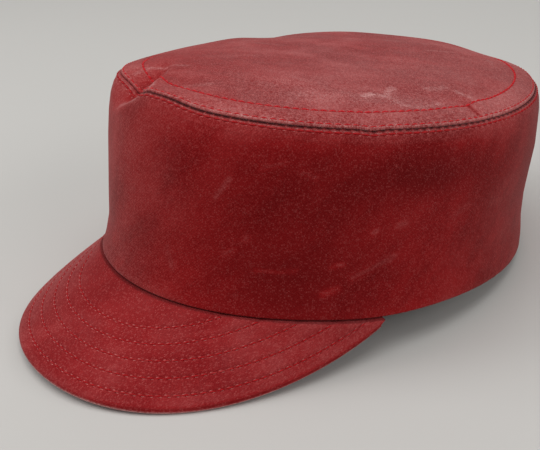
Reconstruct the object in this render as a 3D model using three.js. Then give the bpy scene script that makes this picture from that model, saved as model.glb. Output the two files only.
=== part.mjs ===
// Box cap in waxed canvas: an upright side, a flat oval top and a short curved peak.
// Millimetres, +Z up. The peak points to -Y and +X is the wearer's left.
// The pieces are drawn upright round the middle of the crown's lower edge, called the rim.
// The whole cap is then tipped back until it stands on its peak and on the back of its rim.
import * as THREE from 'three';

// The rim, measured over the cloth.
const RIM_LENGTH = 206;
const RIM_WIDTH = 164;

// The seam between side and top, and its height over the rim.
const SEAM_LENGTH = 187.6;
const SEAM_WIDTH = 157.6;
const SEAM_HEIGHT_FRONT = 72.4;
const SEAM_HEIGHT_BACK = 74;
const SEAM_DIP_AT_SIDES = 2.6;

// Cloth of the side, its hem along the rim, and its sewing allowance under the top.
const SIDE_CLOTH = 1.6;
const HEM_THICKNESS = 3;
const HEM_HEIGHT = 11;
const HEM_ROUND = 0.5;
const ALLOWANCE_CLOTH = 1.2;

// The top: a strip along its edge rises over the allowance, and the middle is slightly domed.
const TOP_CLOTH = 1.4;
const STRIP_WIDTH = 9.4;
const STRIP_ROLL = 1.2;
const STRIP_RISE = 3.4;
const STRIP_STEP = 0.1;
const TOP_DOME = 3;

// The peak: its corners lie this far round from the front, and its depth is measured in plan.
const PEAK_HALF_TURN = THREE.MathUtils.degToRad(70.8);
const PEAK_DEPTH = 37.1;
const PEAK_DROP = 1;
const PEAK_SLOPE = 0.686;
const PEAK_SLOPE_MORE_AT_CORNERS = 0.162;
const PEAK_FAN = 0.06;
const PEAK_SAG_REACH = 30;
const PEAK_BLUNTNESS = 3.6;
const PEAK_ROUNDNESS = 1.3;
const PEAK_THICKNESS = 3;
const PEAK_ALLOWANCE_CLOTH = 1.4;
const PEAK_ALLOWANCE_HEIGHT = 7;

// Clear space between sewn pieces.
const GAP = 0.35;

// Length, from the back forwards, of the hem that the cap's weight flattens.
const FLATTENED_LENGTH = 9;

// How far the side stands out from a straight wall between rim and seam, at the front and at the back.
const SIDE_PROFILE = [
  { share: 0.00, front: 0.0, back: 0.7 },
  { share: 0.08, front: -1.2, back: 1.0 },
  { share: 0.20, front: -1.6, back: 0.2 },
  { share: 0.36, front: -0.2, back: 0.0 },
  { share: 0.52, front: 1.0, back: 1.0 },
  { share: 0.68, front: 2.2, back: 2.2 },
  { share: 0.82, front: 2.9, back: 2.1 },
  { share: 0.90, front: 2.9, back: 2.0 },
  { share: 0.95, front: 2.2, back: 1.6 },
  { share: 0.98, front: 1.2, back: 0.9 },
  { share: 1.00, front: 0.0, back: 0.0 },
];

// Places near the peak's corners where it pulls the rim down: degrees round from the front, half width, depth.
const RIM_SAGS = [
  { round: -48, wide: 20, depth: 5.5 },
  { round: 70, wide: 14, depth: 0.9 },
];

// Dents pressed into the side: degrees round from the front, height, half width, half height and depth.
const SIDE_DENTS = [
  { round: -12, height: 70, wide: 10.5, high: 7.5, depth: 5.2 },
  { round: 66, height: 40, wide: 40, high: 26, depth: 1 },
  { round: -118, height: 44, wide: 34, high: 24, depth: 1.2 },
];

// Dents pressed into the top: middle, half length, half width, degrees of turn and depth.
// A ridge has a depth below zero.
const TOP_DENTS = [
  { x: -16, y: -89, long: 9, wide: 18, turn: 0, depth: 4 },
  { x: 9.7, y: -100, long: 16, wide: 8, turn: 40, depth: -2.9 },
  { x: -76, y: -54, long: 42, wide: 26, turn: 119, depth: 3.4 },
  { x: -80, y: 10, long: 18, wide: 24, turn: 90, depth: 2.6 },
  { x: -88, y: -14, long: 45, wide: 14, turn: 90, depth: 4 },
  { x: -56, y: 57, long: 20, wide: 20, turn: 0, depth: -0.8 },
  { x: 12, y: 96, long: 20, wide: 16, turn: 0, depth: 2.2 },
  { x: 10, y: 15, long: 45, wide: 30, turn: 70, depth: 1 },
];

// Fineness of the faceted cloth: columns round the crown and along the peak, then rows across each face,
// as shares of the side's height, of the peak's reach, of the turn round its edge and of the top's half width.
const CROWN_COLUMNS = 96;
const PEAK_COLUMNS = 52;
const SIDE_BACK_SHARES = [0.96, 0.86, 0.68, 0.5, 0.34];
const PEAK_FACE_SHARES = [0, 0.3, 0.6, 0.85];
const PEAK_EDGE_SHARES = [0, 0.25, 0.5, 0.75, 1];
const PEAK_CORNER_SHARE = 0.995;
const TOP_SHARES = [0.2, 0.38, 0.6, 0.8];

// The rolled edge of the top, from below: shares of the roll and of the cloth's thickness.
const STRIP_EDGE = [
  { roll: 0.6, down: 0.7 },
  { roll: 0.2, down: 0.4 },
  { roll: 0.4, down: 0.1 },
];

const { lerp, degToRad, euclideanModulo } = THREE.MathUtils;

// A point on an oval in plan, round being the angle from the front towards +X.
function onOval(length, width, round) {
  return new THREE.Vector2((width / 2) * Math.sin(round), (-length / 2) * Math.cos(round));
}

// The rim's outward direction in plan.
function outward(round) {
  return new THREE.Vector2(Math.sin(round) / RIM_WIDTH, -Math.cos(round) / RIM_LENGTH).normalize();
}

// A soft hollow, 1 in the middle and fading away from it.
function hollow(along, across) {
  return Math.exp(-along * along - across * across);
}

// Joins rings of points into one closed skin. All rings have the same number of points, except that a ring
// of one point closes an end. Without such ends the last ring joins the first.
function skin(rings) {
  const starts = rings.map((_, row) => rings.slice(0, row).flat().length);
  const hasEnds = rings[0].length === 1;
  const rows = hasEnds ? rings.length - 1 : rings.length;
  const faces = [];
  for (let row = 0; row < rows; row += 1) {
    const next = (row + 1) % rings.length;
    const columns = Math.max(rings[row].length, rings[next].length);
    const corner = (ring, column) => starts[ring] + (column % rings[ring].length);
    for (let column = 0; column < columns; column += 1) {
      const near = corner(row, column);
      const nearRight = corner(row, column + 1);
      const far = corner(next, column);
      const farRight = corner(next, column + 1);
      if (near !== nearRight) faces.push(near, nearRight, farRight);
      if (far !== farRight) faces.push(near, farRight, far);
    }
  }
  const geometry = new THREE.BufferGeometry().setFromPoints(rings.flat());
  geometry.setIndex(faces);
  geometry.computeVertexNormals();
  return geometry;
}

// A ring of points round the crown.
function crownRing(pointAt) {
  const turn = (2 * Math.PI) / CROWN_COLUMNS;
  return Array.from({ length: CROWN_COLUMNS }, (_, column) => pointAt(column * turn));
}

function canvasPiece(name, geometry, colour) {
  const canvas = new THREE.MeshStandardMaterial({ color: colour, roughness: 0.8, metalness: 0 });
  const mesh = new THREE.Mesh(geometry, canvas);
  mesh.name = name;
  return mesh;
}

// The turn from a place, given in degrees round from the front, to an angle round, the shorter way.
function turnFrom(degrees, round) {
  return euclideanModulo(round - degToRad(degrees) + Math.PI, 2 * Math.PI) - Math.PI;
}

// How far the rim is pulled down at an angle round.
function rimSag(round) {
  return RIM_SAGS.reduce((depth, sag) => (
    depth + sag.depth * hollow(turnFrom(sag.round, round) / degToRad(sag.wide), 0)), 0);
}

// How far the side is pressed in, at an angle round and a height over the rim.
function sideDent(round, height) {
  const radius = (RIM_LENGTH + RIM_WIDTH) / 4;
  return SIDE_DENTS.reduce((depth, dent) => {
    const along = turnFrom(dent.round, round) * radius;
    return depth + dent.depth * hollow(along / dent.wide, (height - dent.height) / dent.high);
  }, 0);
}

// How far the top is pressed down at a point in plan.
function topDent(x, y) {
  return TOP_DENTS.reduce((depth, dent) => {
    const offset = new THREE.Vector2(x - dent.x, y - dent.y);
    offset.rotateAround(new THREE.Vector2(), -degToRad(dent.turn));
    return depth + dent.depth * hollow(offset.x / dent.long, offset.y / dent.wide);
  }, 0);
}

// Height of the seam over the rim, carried on over the whole top.
function seamHeight(x, y) {
  const frontShare = 0.5 - y / SEAM_LENGTH;
  const sideShare = ((2 * x) / SEAM_WIDTH) ** 2;
  const level = lerp(SEAM_HEIGHT_BACK, SEAM_HEIGHT_FRONT, frontShare);
  return level - SEAM_DIP_AT_SIDES * sideShare - topDent(x, y);
}

// The side's stand-out from a straight wall, read between the rows of its table.
function sideProfile(share, round) {
  const row = Math.max(1, SIDE_PROFILE.findIndex((entry) => entry.share >= share));
  const below = SIDE_PROFILE[row - 1];
  const above = SIDE_PROFILE[row];
  const between = (share - below.share) / (above.share - below.share);
  const frontShare = 0.5 + 0.5 * Math.cos(round);
  return lerp(lerp(below.back, below.front, frontShare), lerp(above.back, above.front, frontShare), between);
}

// The side's place in plan, at a share of its height and a depth into the cloth.
function sidePlan(share, depth, round) {
  const seam = onOval(SEAM_LENGTH, SEAM_WIDTH, round);
  const plan = onOval(RIM_LENGTH, RIM_WIDTH, round).lerp(seam, share);
  const standOut = sideProfile(share, round) - sideDent(round, share * seamHeight(seam.x, seam.y));
  return plan.addScaledVector(outward(round), standOut - depth);
}

// The peak's upper face leaves the rim just below it and slopes down outwards. The rim's sag fades over it.
function onPeak(round, out) {
  const cornerShare = (round / PEAK_HALF_TURN) ** 2;
  const slope = PEAK_SLOPE + PEAK_SLOPE_MORE_AT_CORNERS * cornerShare;
  const sag = rimSag(round) * Math.max(0, 1 - out / PEAK_SAG_REACH) ** 1.5;
  const plan = onOval(RIM_LENGTH, RIM_WIDTH, round);
  plan.x += out * Math.sin(PEAK_FAN * round);
  plan.y -= out * Math.cos(PEAK_FAN * round);
  return new THREE.Vector3(plan.x, plan.y, -PEAK_DROP - slope * out - sag);
}

// How far the peak reaches out from the rim, a blunt rounded outline.
function peakReach(round) {
  const share = Math.abs(round) / PEAK_HALF_TURN;
  return PEAK_DEPTH * (1 - share ** PEAK_BLUNTNESS) ** (1 / PEAK_ROUNDNESS);
}

// One section of the peak, from the top of its allowance inside the crown, out over the upper face,
// round the edge and back below.
function peakSection(round) {
  const step = 1e-3;
  const half = PEAK_THICKNESS / 2;
  const reach = peakReach(round);
  const edgeAt = (angle) => onPeak(angle, peakReach(angle));
  const normalAt = (out) => {
    const across = onPeak(round + step, out).sub(onPeak(round - step, out));
    const outwards = onPeak(round, out + step).sub(onPeak(round, out));
    return outwards.cross(across).normalize();
  };
  const upper = PEAK_FACE_SHARES.map((share) => onPeak(round, share * reach));
  const lower = PEAK_FACE_SHARES.toReversed().map((share) => (
    onPeak(round, share * reach).addScaledVector(normalAt(share * reach), -PEAK_THICKNESS)));

  const edgeNormal = normalAt(reach);
  const alongEdge = edgeAt(round + step).sub(edgeAt(round - step));
  const offEdge = alongEdge.cross(edgeNormal).normalize();
  const edgeMiddle = edgeAt(round).addScaledVector(edgeNormal, -half);
  const rolledEdge = PEAK_EDGE_SHARES.map((share) => (
    edgeMiddle.clone()
      .addScaledVector(edgeNormal, half * Math.cos(Math.PI * share))
      .addScaledVector(offEdge, half * Math.sin(Math.PI * share))));

  const inside = (depth, height) => {
    const share = Math.max(0, height) / SEAM_HEIGHT_FRONT;
    const plan = sidePlan(share, depth, round);
    return new THREE.Vector3(plan.x, plan.y, height - rimSag(round) * (1 - share));
  };
  const allowanceFace = HEM_THICKNESS + GAP;
  const allowanceBack = allowanceFace + PEAK_ALLOWANCE_CLOTH;
  const allowanceFoot = -GAP - PEAK_ALLOWANCE_CLOTH;
  return [
    inside(allowanceFace, PEAK_ALLOWANCE_HEIGHT),
    inside(allowanceFace, -GAP),
    ...upper,
    ...rolledEdge,
    ...lower,
    inside(allowanceBack, allowanceFoot),
    inside(allowanceBack, PEAK_ALLOWANCE_HEIGHT),
  ];
}

// Sections crowd towards the corners, where the outline turns.
// Each corner closes at the foot of the allowance.
function peakGeometry() {
  const sections = Array.from({ length: PEAK_COLUMNS + 1 }, (_, column) => {
    const share = Math.sin((Math.PI / 2) * ((2 * column) / PEAK_COLUMNS - 1));
    return peakSection(PEAK_CORNER_SHARE * PEAK_HALF_TURN * share);
  });
  const cornerFoot = (section) => [section[1].clone().lerp(section.at(-2), 0.5)];
  return skin([cornerFoot(sections[0]), ...sections, cornerFoot(sections.at(-1))]);
}

const peak = canvasPiece('peak', peakGeometry(), '#952a2f');

// The floor under the standing cap runs from the flattened hem at the back to the peak's lowest edge.
const FLATTENED_START = RIM_LENGTH / 2 - FLATTENED_LENGTH;

function restTilt(geometry) {
  const points = geometry.getAttribute('position');
  let tilt = 0;
  for (let index = 0; index < points.count; index += 1) {
    tilt = Math.max(tilt, Math.atan2(-points.getZ(index), FLATTENED_START - points.getY(index)));
  }
  return tilt;
}

const TILT = restTilt(peak.geometry);

// Height of the floor over the level of the rim, where it presses the hem up.
function floorHeight(y) {
  return Math.max(0, (y - FLATTENED_START) * Math.tan(TILT));
}

// A point of the side. Its lower edge lies on the floor where the hem is flattened.
function onSide(share, depth, round) {
  const seam = onOval(SEAM_LENGTH, SEAM_WIDTH, round);
  const plan = sidePlan(share, depth, round);
  const foot = floorHeight(plan.y) - rimSag(round);
  return new THREE.Vector3(plan.x, plan.y, lerp(foot, seamHeight(seam.x, seam.y), share));
}

// A point of the top or of what lies under it, inset from the seam and lifted over it.
function onTop(inset, lift, round) {
  const plan = onOval(SEAM_LENGTH - 2 * inset, SEAM_WIDTH - 2 * inset, round);
  const height = seamHeight(plan.x, plan.y) + lift;
  const shift = sideDent(round, seamHeight(plan.x, plan.y)) * Math.max(0, 1 - inset / (2 * STRIP_WIDTH));
  plan.addScaledVector(outward(round), -shift);
  return new THREE.Vector3(plan.x, plan.y, height);
}

// The strip is followed at these insets from the seam, by the top and by the allowance under it.
const STRIP_INSETS = [STRIP_ROLL, 0.5 * STRIP_WIDTH, STRIP_WIDTH];

// Lift of the strip's upper face over the seam.
function stripLift(inset) {
  return lerp(STRIP_ROLL, STRIP_RISE, inset / STRIP_WIDTH);
}

// The side: down to the rim inside the hem, up the outer face to the seam, in along the allowance and back.
function sideGeometry() {
  const hemRoundShare = (2 * HEM_ROUND) / SEAM_HEIGHT_FRONT;
  const hemShare = HEM_HEIGHT / SEAM_HEIGHT_FRONT;
  const allowanceLift = (inset) => stripLift(inset) - TOP_CLOTH - GAP;
  const face = (share, depth) => crownRing((round) => onSide(share, depth, round));
  const allowance = (inset, depth) => crownRing((round) => onTop(inset, allowanceLift(inset) - depth, round));
  return skin([
    face(0, HEM_THICKNESS - HEM_ROUND),
    face(0, HEM_ROUND),
    face(hemRoundShare, 0),
    ...SIDE_PROFILE.slice(1).map((row) => face(row.share, 0)),
    ...STRIP_INSETS.map((inset) => allowance(inset, 0)),
    ...STRIP_INSETS.toReversed().map((inset) => allowance(inset, ALLOWANCE_CLOTH)),
    ...SIDE_BACK_SHARES.map((share) => face(share, SIDE_CLOTH)),
    face(hemShare + hemRoundShare, SIDE_CLOTH),
    face(hemShare, HEM_THICKNESS),
    face(hemRoundShare, HEM_THICKNESS),
  ]);
}

// The top: from the middle of its lower face out to the seam, round the rolled edge, and in over the strip.
function topGeometry() {
  const half = SEAM_WIDTH / 2;
  const ring = (inset, lift) => crownRing((round) => onTop(inset, lift, round));
  const middle = (lift) => [new THREE.Vector3(0, 0, seamHeight(0, 0) + lift)];
  const innerLift = (inset) => {
    const edgeShare = (half - inset) / (half - STRIP_WIDTH);
    return STRIP_RISE - STRIP_STEP + TOP_DOME * (1 - edgeShare ** 3);
  };
  const innerInsets = [STRIP_WIDTH + 2 * STRIP_STEP, ...TOP_SHARES.map((share) => share * half)];
  return skin([
    middle(innerLift(half) - TOP_CLOTH),
    ...innerInsets.toReversed().map((inset) => ring(inset, innerLift(inset) - TOP_CLOTH)),
    ...STRIP_INSETS.toReversed().map((inset) => ring(inset, stripLift(inset) - TOP_CLOTH)),
    ...STRIP_EDGE.map(({ roll, down }) => ring(roll * STRIP_ROLL, stripLift(0) - down * TOP_CLOTH)),
    ...STRIP_INSETS.map((inset) => ring(inset, stripLift(inset))),
    ...innerInsets.map((inset) => ring(inset, innerLift(inset))),
    middle(innerLift(half)),
  ]);
}

// The standing cap, with its origin under its middle on the floor.
const cap = new THREE.Group();
cap.add(
  canvasPiece('crown_side', sideGeometry(), '#781a1f'),
  canvasPiece('crown_top', topGeometry(), '#8a3237'),
  peak,
);
cap.rotation.x = -TILT;
cap.position.z = FLATTENED_START * Math.sin(TILT);
const standing = new THREE.Box3().setFromObject(cap, true).getCenter(new THREE.Vector3());
cap.position.x = -standing.x;
cap.position.y = -standing.y;

const boxCap = new THREE.Group();
boxCap.add(cap);

export default boxCap;
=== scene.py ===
import bpy
import numpy as np
from mathutils import Matrix, Vector


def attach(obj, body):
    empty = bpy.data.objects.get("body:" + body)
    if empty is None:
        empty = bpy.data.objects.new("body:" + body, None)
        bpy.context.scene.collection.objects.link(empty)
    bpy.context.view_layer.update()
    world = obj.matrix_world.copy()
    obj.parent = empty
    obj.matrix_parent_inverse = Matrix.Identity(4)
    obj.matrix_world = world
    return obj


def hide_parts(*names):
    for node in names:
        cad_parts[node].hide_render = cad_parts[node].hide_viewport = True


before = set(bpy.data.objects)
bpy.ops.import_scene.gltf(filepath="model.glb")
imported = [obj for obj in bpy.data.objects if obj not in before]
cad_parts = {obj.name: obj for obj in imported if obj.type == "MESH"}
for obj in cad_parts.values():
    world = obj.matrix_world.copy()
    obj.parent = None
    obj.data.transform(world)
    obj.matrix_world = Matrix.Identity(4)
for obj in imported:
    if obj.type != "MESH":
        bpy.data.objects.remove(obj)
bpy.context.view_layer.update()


# The side of the crown: one upright band of waxed cotton canvas, about 73 mm high and sewn into a ring.
# Its lower edge is folded up inside as a hem, and its upper edge is turned in under the top and sewn there.
# All shapes are drawn upright in millimetres round the middle of the rim, then set down as the cap stands.
MM = 0.001
RIM_LENGTH = 206.0
RIM_WIDTH = 164.0
MEAN_RADIUS = (RIM_LENGTH + RIM_WIDTH) / 4
SEAM_LENGTH = 187.6
SEAM_WIDTH = 157.6
SEAM_HEIGHT_FRONT = 72.4
SEAM_HEIGHT_BACK = 74.0
SEAM_DIP_AT_SIDES = 2.6
SIDE_CLOTH = 1.6
HEM_THICKNESS = 3.0
HEM_HEIGHT = 11.0
HEM_FOLD = 0.8
ALLOWANCE_CLOTH = 1.2
STRIP_WIDTH = 9.4
STRIP_ROLL = 1.2
STRIP_RISE = 3.4
TOP_CLOTH = 1.4
GAP = 0.35

# How the cap stands: tipped back on its peak, with the back of the hem flattened by its weight.
REST_TILT = np.radians(7.81335)
FLATTENED_LENGTH = 9.0
FLATTENED_START = RIM_LENGTH / 2 - FLATTENED_LENGTH
STANDING_SHIFT = np.array([0.01645, 19.11857, FLATTENED_START * np.sin(REST_TILT)])

# The row of stitches under the seam: how many, how far below it, how deep and wide the needle pulls the cloth
# in along the row, and the share and width of the puff beside it.
SEAM_STITCHES = 170
SIDE_ROW_BELOW_SEAM = 1.05
NEEDLE_PULL = 0.35
NEEDLE_PULL_WIDTH = 0.5
NEEDLE_PUFF = 0.45
NEEDLE_PUFF_WIDTH = 1.3

# Columns round the crown, and rows over its faces: coarse on the walls, fine in the fold and the sewn edge.
CROWN_COLUMNS = 4 * SEAM_STITCHES
OVAL_STEPS = 4001
SIDE_ROWS = 54
SEWN_EDGE_ROWS = 22
SEWN_EDGE_HEIGHT = 5.0
HEM_FOLD_ROWS = 13
HEM_ROWS = 5
HEM_LEDGE = 0.01
INSIDE_ROWS = 14
INSIDE_FROM = 0.96
INSIDE_TO = 0.2

# How far the side stands out from a straight wall: share of the height, at the front, at the back.
SIDE_PROFILE = np.array([
    (0.00, 0.0, 0.7), (0.08, -1.2, 1.0), (0.20, -1.6, 0.2), (0.36, -0.2, 0.0), (0.52, 1.0, 1.0),
    (0.68, 2.2, 2.2), (0.82, 2.9, 2.1), (0.90, 2.9, 2.0), (0.95, 2.2, 1.6), (0.98, 1.2, 0.9),
    (1.00, 0.0, 0.0),
])
SIDE_PROFILE_BLUR = np.array([-0.02, -0.01, 0, 0.01, 0.02])

# The peak pulls the rim down near its corners: degrees round from the front, half width in degrees, depth.
RIM_SAGS = [(-48, 20, 5.5), (70, 14, 0.9)]

# Soft hollows of the side: degrees round from the front, height, half width, half height, depth.
SIDE_HOLLOWS = [
    (66, 40, 40, 26, 1.0), (-118, 44, 34, 24, 1.2), (18, 26, 24, 17, 0.45), (98, 52, 22, 18, -0.35),
    (112, 28, 20, 16, 0.45), (150, 46, 30, 22, -0.5), (-165, 30, 32, 20, 0.6), (-70, 54, 24, 18, -0.5),
    (-48, 26, 26, 16, 0.5), (38, 56, 20, 12, -0.3),
]

# Soft hollows of the top: middle, half length, half width, degrees of turn, depth.
TOP_HOLLOWS = [
    (-76, -54, 42, 26, 119, 3.4), (9.7, -100, 16, 8, 40, -2.9), (-80, 10, 18, 24, 90, 2.6),
    (-88, -14, 45, 14, 90, 4.0), (-56, 57, 20, 20, 0, -0.8), (12, 96, 20, 16, 0, 2.2),
    (10, 15, 45, 30, 70, 1.0), (36, -40, 26, 10, 30, -0.5), (58, -6, 14, 8, 84, 0.5),
    (-30, 48, 30, 16, 40, 0.6), (20, 62, 26, 14, -10, -0.4), (-66, -4, 12, 10, 90, -1.0),
    (69.6, -44, 4, 7, 66, 0.6), (68.5, 10, 6, 4.5, -17, -0.5), (70, 3, 6, 3.5, -17, 0.6),
]

# The fold pressed into the front edge: a crest across the top that goes on down the side, with a hollow
# beyond it. The crest is sharp towards the hollow and softer by a factor on its other side.
FOLD_ON_TOP = {"at": (-3.4, -86.0), "along": (0.716, -0.698), "half_length": 13.0}
FOLD_ON_SIDE = {"at": (-7.5, 67.1), "along": (-0.911, -0.413), "half_length": 9.0}
FOLD_TOP_HOLLOW = (-15.2, -89.3, 9.5, 20.0, 4.5)
FOLD_SIDE_HOLLOW = (-15.2, 70.9, 11.2, 7.0, 6.5)
FOLD_TOP_CREST = 1.0
FOLD_SIDE_CREST = 0.9
FOLD_SHARPNESS = 1.3
FOLD_SOFT_SIDE = 3.5
FRONT_RADIUS = 80.0


def oval(length, width, turn):
    """A point in plan on an oval: half the width times sine, minus half the length times cosine."""
    return width / 2 * np.sin(turn), -length / 2 * np.cos(turn)


def outward(turn):
    """The rim's outward direction in plan: sine over width and minus cosine over length, made one long."""
    x = np.sin(turn) / RIM_WIDTH
    y = -np.cos(turn) / RIM_LENGTH
    size = np.hypot(x, y)
    return x / size, y / size


def turned_from(turn, middle=0.0):
    """The turn from a middle in degrees by the shorter way, kept within half a round by a remainder."""
    return np.mod(turn - np.radians(middle) + np.pi, 2 * np.pi) - np.pi


def bell(off, width, power=2):
    """1 in the middle, falling on both sides as e to the minus (off over width) to the power."""
    return np.exp(-(off / width) ** power)


def bells(off, *rises):
    """A sum of bells, each given by its middle, half width and height, and by its power if that isn't 2."""
    return sum(high * bell(off - middle, wide, *power) for middle, wide, high, *power in rises)


def hollow(along, across):
    """A soft hollow: e to the minus (along squared plus across squared)."""
    return np.exp(-along ** 2 - across ** 2)


def fold_relief(x, y, fold, pit, crest):
    """Depth of the fold: a soft pit, kept beyond the crest line by a tanh step, less a bell along it."""
    along_x, along_y = fold["along"]
    from_x = x - fold["at"][0]
    from_y = y - fold["at"][1]
    along = from_x * along_x + from_y * along_y
    beyond = from_x * along_y - from_y * along_x
    pit_x, pit_y, pit_long, pit_wide, pit_depth = pit
    step = 0.5 + 0.5 * np.tanh(beyond / FOLD_SHARPNESS)
    sunk = pit_depth * hollow((x - pit_x) / pit_long, (y - pit_y) / pit_wide) * step
    crest_width = np.where(beyond > 0, FOLD_SHARPNESS, FOLD_SOFT_SIDE * FOLD_SHARPNESS)
    return sunk - crest * hollow(along / fold["half_length"], beyond / crest_width)


def side_dent(turn, height):
    """How far the side is pressed in: the sum of its soft hollows and of the fold at the front."""
    depth = 0.0
    for middle, middle_height, wide, high, deep in SIDE_HOLLOWS:
        off = turned_from(turn, middle) * MEAN_RADIUS
        depth = depth + deep * hollow(off / wide, (height - middle_height) / high)
    round_front = turned_from(turn) * FRONT_RADIUS
    return depth + fold_relief(round_front, height, FOLD_ON_SIDE, FOLD_SIDE_HOLLOW, FOLD_SIDE_CREST)


def top_dent(x, y):
    """How far the top is pressed down at a point in plan: its turned hollows and the fold at the front."""
    depth = fold_relief(x, y, FOLD_ON_TOP, FOLD_TOP_HOLLOW, FOLD_TOP_CREST)
    for middle_x, middle_y, long, wide, turn, deep in TOP_HOLLOWS:
        cos = np.cos(np.radians(turn))
        sin = np.sin(np.radians(turn))
        along = (x - middle_x) * cos + (y - middle_y) * sin
        across = (y - middle_y) * cos - (x - middle_x) * sin
        depth = depth + deep * hollow(along / long, across / wide)
    return depth


def seam_height(x, y):
    """Height of the seam, carried on over the top.

    It is a ramp from back to front, less a dip that grows with x squared and less the dents of the top."""
    front = 0.5 - y / SEAM_LENGTH
    level = SEAM_HEIGHT_BACK + (SEAM_HEIGHT_FRONT - SEAM_HEIGHT_BACK) * front
    return level - SEAM_DIP_AT_SIDES * (2 * x / SEAM_WIDTH) ** 2 - top_dent(x, y)


def seam_phase(turn):
    """Stitches counted from the front along the seam's oval: its length up to that turn, in needle steps."""
    steps = np.linspace(0, 2 * np.pi, OVAL_STEPS)
    x, y = oval(SEAM_LENGTH, SEAM_WIDTH, steps)
    length = np.concatenate([[0], np.cumsum(np.hypot(np.diff(x), np.diff(y)))])
    return SEAM_STITCHES * np.interp(turn, steps, length / length[-1])


def side_profile(share, turn):
    """The side's stand-out: its table read at five shares near by and averaged, which rounds the corners."""
    near = share[..., None] + SIDE_PROFILE_BLUR * (1 - share[..., None])
    front = np.interp(near, SIDE_PROFILE[:, 0], SIDE_PROFILE[:, 1]).mean(-1)
    back = np.interp(near, SIDE_PROFILE[:, 0], SIDE_PROFILE[:, 2]).mean(-1)
    return back + (front - back) * (0.5 + 0.5 * np.cos(turn))


def hole_pull(phase):
    """The pull along a row by its count of stitches: 0.7 plus 0.3 times a cosine, most at the holes."""
    return 0.7 + 0.3 * np.cos(2 * np.pi * phase)


def side_pull(below_seam, turn):
    """The needle's pull: a narrow bell on the row, deeper at each hole, less a wider puff beside it."""
    off = below_seam - SIDE_ROW_BELOW_SEAM
    pulled = hole_pull(seam_phase(turn)) * bell(off, NEEDLE_PULL_WIDTH)
    return NEEDLE_PULL * (pulled - NEEDLE_PUFF * bell(off, NEEDLE_PUFF_WIDTH))


def rim_sag(turn):
    """How far the rim is pulled down: a sum of bells over the degrees round from the front."""
    return bells(np.degrees(turned_from(turn)), *RIM_SAGS)


def on_side(share, depth, turn):
    """A point of the side: on the line from the rim's oval to the seam's, moved out by its stand-out.

    Dents, the needle's pull on the outer face and the depth into the cloth are taken off the stand-out. The
    height runs by share from the foot, which sags by the peak and is flattened at the back, to the seam."""
    share, depth, turn = np.broadcast_arrays(share, depth, turn)
    rim_x, rim_y = oval(RIM_LENGTH, RIM_WIDTH, turn)
    seam_x, seam_y = oval(SEAM_LENGTH, SEAM_WIDTH, turn)
    seam_z = seam_height(seam_x, seam_y)
    height = share * seam_z
    pull = np.where(depth == 0, side_pull(seam_z - height, turn), 0)
    stand_out = side_profile(share, turn) - side_dent(turn, height) - pull - depth
    out_x, out_y = outward(turn)
    x = rim_x + (seam_x - rim_x) * share + out_x * stand_out
    y = rim_y + (seam_y - rim_y) * share + out_y * stand_out
    foot = np.maximum(0, (y - FLATTENED_START) * np.tan(REST_TILT)) - rim_sag(turn)
    return np.stack([x, y, foot + (seam_z - foot) * share], -1)


def on_top(inset, lift, turn):
    """A point of the top: on the seam's oval drawn in by the inset, at the seam's height there plus the lift.

    The dent of the side shifts it inwards, less and less over two widths of the strip."""
    inset, lift, turn = np.broadcast_arrays(inset, lift, turn)
    x, y = oval(SEAM_LENGTH - 2 * inset, SEAM_WIDTH - 2 * inset, turn)
    level = seam_height(x, y)
    shift = side_dent(turn, level) * np.maximum(0, 1 - inset / (2 * STRIP_WIDTH))
    out_x, out_y = outward(turn)
    return np.stack([x - out_x * shift, y - out_y * shift, level + lift], -1)


def strip_lift(inset):
    """Lift of the strip along the top's edge: a straight ramp from its rolled edge to its inner row."""
    return STRIP_ROLL + (STRIP_RISE - STRIP_ROLL) * inset / STRIP_WIDTH


def standing(points):
    """Upright millimetres to metres as the cap stands: turned back about X by the tilt, then shifted."""
    x, y, z = np.moveaxis(points, -1, 0)
    cos = np.cos(REST_TILT)
    sin = np.sin(REST_TILT)
    return (np.stack([x, y * cos + z * sin, z * cos - y * sin], -1) + STANDING_SHIFT) * MM


def near_line(x, y, line, width):
    """1 on a line of points, falling off as a bell over the distance from its nearest stretch."""
    nearest = np.full(np.shape(x), np.inf)
    for (x0, y0), (x1, y1) in zip(line[:-1], line[1:]):
        long = (x1 - x0) ** 2 + (y1 - y0) ** 2
        share = np.clip(((x - x0) * (x1 - x0) + (y - y0) * (y1 - y0)) / long, 0, 1)
        nearest = np.minimum(nearest, np.hypot(x - x0 - share * (x1 - x0), y - y0 - share * (y1 - y0)))
    return bell(nearest, width)


def new_piece(name, points, faces):
    """Points and faces put into the scene as one object, shaded smoothly."""
    mesh = bpy.data.meshes.new(name)
    mesh.from_pydata(points.reshape(-1, 3).tolist(), [], faces)
    mesh.polygons.foreach_set("use_smooth", np.ones(len(mesh.polygons), bool))
    mesh.update()
    piece = bpy.data.objects.new(name, mesh)
    bpy.context.scene.collection.objects.link(piece)
    return piece


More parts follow.
